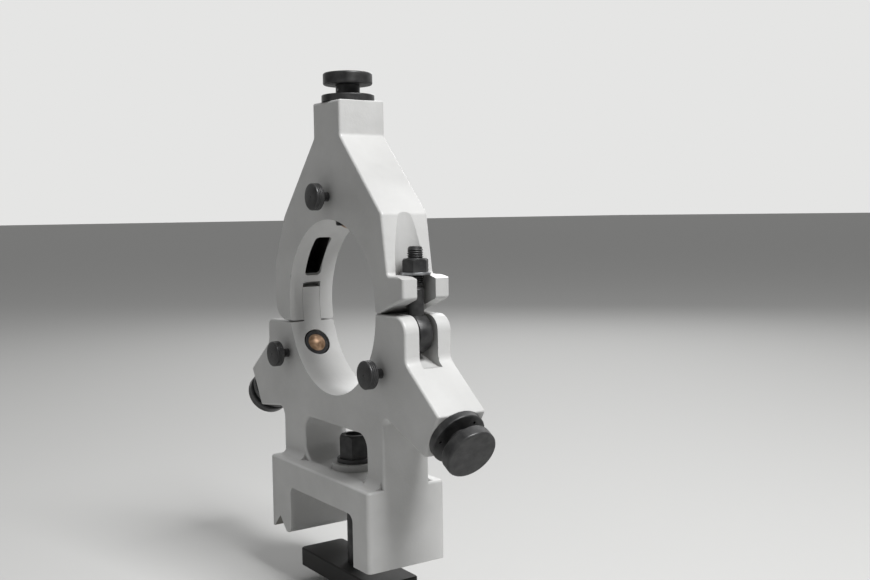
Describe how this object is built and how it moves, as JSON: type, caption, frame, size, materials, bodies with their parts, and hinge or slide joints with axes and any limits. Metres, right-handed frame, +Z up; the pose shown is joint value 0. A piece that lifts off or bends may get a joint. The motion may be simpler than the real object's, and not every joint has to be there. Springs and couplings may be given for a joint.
{
  "type": "lathe steady rest",
  "caption": "Fixed steady rest for a metal lathe: hinged split ring on two feet, with screw-set radial jaws, swing bolt clamp and bed clamp.",
  "frame": {"origin": "on the seat of the feet, below the spindle axis, half way through the thickness", "axes": "+X across the bed towards the swing bolt, +Y along the spindle away from the lock screws, +Z up"},
  "size_m": [0.3636, 0.075, 0.4496],
  "materials": {
    "machine_paint": "satin",
    "black_oxide": "satin",
    "ground_steel": "satin",
    "zinc_plate": "gloss",
    "bronze": "satin",
    "dark_steel": "matte"
  },
  "bodies": {
    "base": {"base_casting": "machine_paint", "eye_pin_ends": "ground_steel", "bearing_cap_left": "black_oxide", "cap_screws_left": "black_oxide", "bearing_cap_right": "black_oxide", "cap_screws_right": "black_oxide"},
    "top_frame": {"top_casting": "machine_paint", "hinge_pin": "ground_steel", "hinge_pin_screw": "black_oxide", "bearing_cap_top": "black_oxide", "cap_screws_top": "black_oxide"},
    "swing_bolt": {"eye_bolt": "black_oxide", "eye_pin": "ground_steel"},
    "washer": {"clamp_washer": "zinc_plate"},
    "nut": {"clamp_nut": "black_oxide"},
    "bed_nut": {"bed_nut": "black_oxide"},
    "bed_clamp": {"bed_bolt": "black_oxide", "clamp_plate": "dark_steel"},
    "knob_top": {"adjusting_screw_top": "black_oxide", "knob_top": "black_oxide", "knob_pin_top": "ground_steel"},
    "jaw_top": {"quill_top": "ground_steel", "bronze_tip_top": "bronze"},
    "pad_top": {"lock_pad_top": "bronze"},
    "lock_top": {"lock_screw_top": "black_oxide"},
    "knob_left": {"adjusting_screw_left": "black_oxide", "knob_left": "black_oxide", "knob_pin_left": "ground_steel"},
    "jaw_left": {"quill_left": "ground_steel", "bronze_tip_left": "bronze"},
    "pad_left": {"lock_pad_left": "bronze"},
    "lock_left": {"lock_screw_left": "black_oxide"},
    "knob_right": {"adjusting_screw_right": "black_oxide", "knob_right": "black_oxide", "knob_pin_right": "ground_steel"},
    "jaw_right": {"quill_right": "ground_steel", "bronze_tip_right": "bronze"},
    "pad_right": {"lock_pad_right": "bronze"},
    "lock_right": {"lock_screw_right": "black_oxide"}
  },
  "joints": [
    {"name": "top_open", "type": "hinge", "parent": "base", "child": "top_frame", "pos_m": [-0.087, 0, 0.207], "axis": [0, -1, 0], "range_deg": [0, 92]},
    {"name": "clamp_swing", "type": "hinge", "parent": "top_frame", "child": "swing_bolt", "pos_m": [0.1, 0, 0.192], "axis": [0, -1, 0], "range_deg": [-110, 0]},
    {"name": "washer_lift", "type": "slide", "parent": "swing_bolt", "child": "washer", "axis": [0, 0, 1], "range_m": [0, 0.007]},
    {"name": "clamp_nut_turn", "type": "hinge", "parent": "washer", "child": "nut", "pos_m": [0.1, 0, 0.238], "axis": [0, 0, 1], "range_deg": [0, 1445]},
    {"name": "jaw_slide_top", "type": "slide", "parent": "top_frame", "child": "jaw_top", "axis": [0, 0, -1], "range_m": [-0.006, 0.05]},
    {"name": "knob_turn_top", "type": "hinge", "parent": "top_frame", "child": "knob_top", "pos_m": [0, 0, 0.381], "axis": [0, 0, 1], "range_deg": [-1085, 9005]},
    {"name": "pad_slide_top", "type": "slide", "parent": "top_frame", "child": "pad_top", "axis": [0, -1, 0], "range_m": [0, 0.0025]},
    {"name": "lock_turn_top", "type": "hinge", "parent": "pad_top", "child": "lock_top", "pos_m": [0, -0.03, 0.301], "axis": [0, -1, 0], "range_deg": [0, 725]},
    {"name": "jaw_slide_left", "type": "slide", "parent": "base", "child": "jaw_left", "axis": [0.866, 0, 0.5], "range_m": [0, 0.056]},
    {"name": "knob_turn_left", "type": "hinge", "parent": "base", "child": "knob_left", "pos_m": [-0.15069, 0, 0.12], "axis": [-0.866, 0, -0.5], "range_deg": [0, 10085]},
    {"name": "pad_slide_left", "type": "slide", "parent": "base", "child": "pad_left", "axis": [0, -1, 0], "range_m": [0, 0.0025]},
    {"name": "lock_turn_left", "type": "hinge", "parent": "pad_left", "child": "lock_left", "pos_m": [-0.08141, -0.03, 0.16], "axis": [0, -1, 0], "range_deg": [0, 725]},
    {"name": "jaw_slide_right", "type": "slide", "parent": "base", "child": "jaw_right", "axis": [-0.866, 0, 0.5], "range_m": [0, 0.056]},
    {"name": "knob_turn_right", "type": "hinge", "parent": "base", "child": "knob_right", "pos_m": [0.15069, 0, 0.12], "axis": [0.866, 0, -0.5], "range_deg": [0, 10085]},
    {"name": "pad_slide_right", "type": "slide", "parent": "base", "child": "pad_right", "axis": [0, -1, 0], "range_m": [0, 0.0025]},
    {"name": "lock_turn_right", "type": "hinge", "parent": "pad_right", "child": "lock_right", "pos_m": [0.08141, -0.03, 0.16], "axis": [0, -1, 0], "range_deg": [0, 725]},
    {"name": "bed_clamp_drop", "type": "slide", "parent": "base", "child": "bed_clamp", "axis": [0, 0, -1], "range_m": [0, 0.01]},
    {"name": "bed_nut_turn", "type": "hinge", "parent": "base", "child": "bed_nut", "pos_m": [0, 0, 0.0713], "axis": [0, 0, 1], "range_deg": [0, 1805]}
  ],
  "couplings": [
    {"joint": "clamp_nut_turn", "follows": "washer_lift", "rad_per_m": 3590.4},
    {"joint": "knob_turn_top", "follows": "jaw_slide_top", "rad_per_m": 3141.6},
    {"joint": "lock_turn_top", "follows": "pad_slide_top", "rad_per_m": 5026.5},
    {"joint": "knob_turn_left", "follows": "jaw_slide_left", "rad_per_m": 3141.6},
    {"joint": "lock_turn_left", "follows": "pad_slide_left", "rad_per_m": 5026.5},
    {"joint": "knob_turn_right", "follows": "jaw_slide_right", "rad_per_m": 3141.6},
    {"joint": "lock_turn_right", "follows": "pad_slide_right", "rad_per_m": 5026.5},
    {"joint": "bed_nut_turn", "follows": "bed_clamp_drop", "rad_per_m": 3141.6}
  ]
}
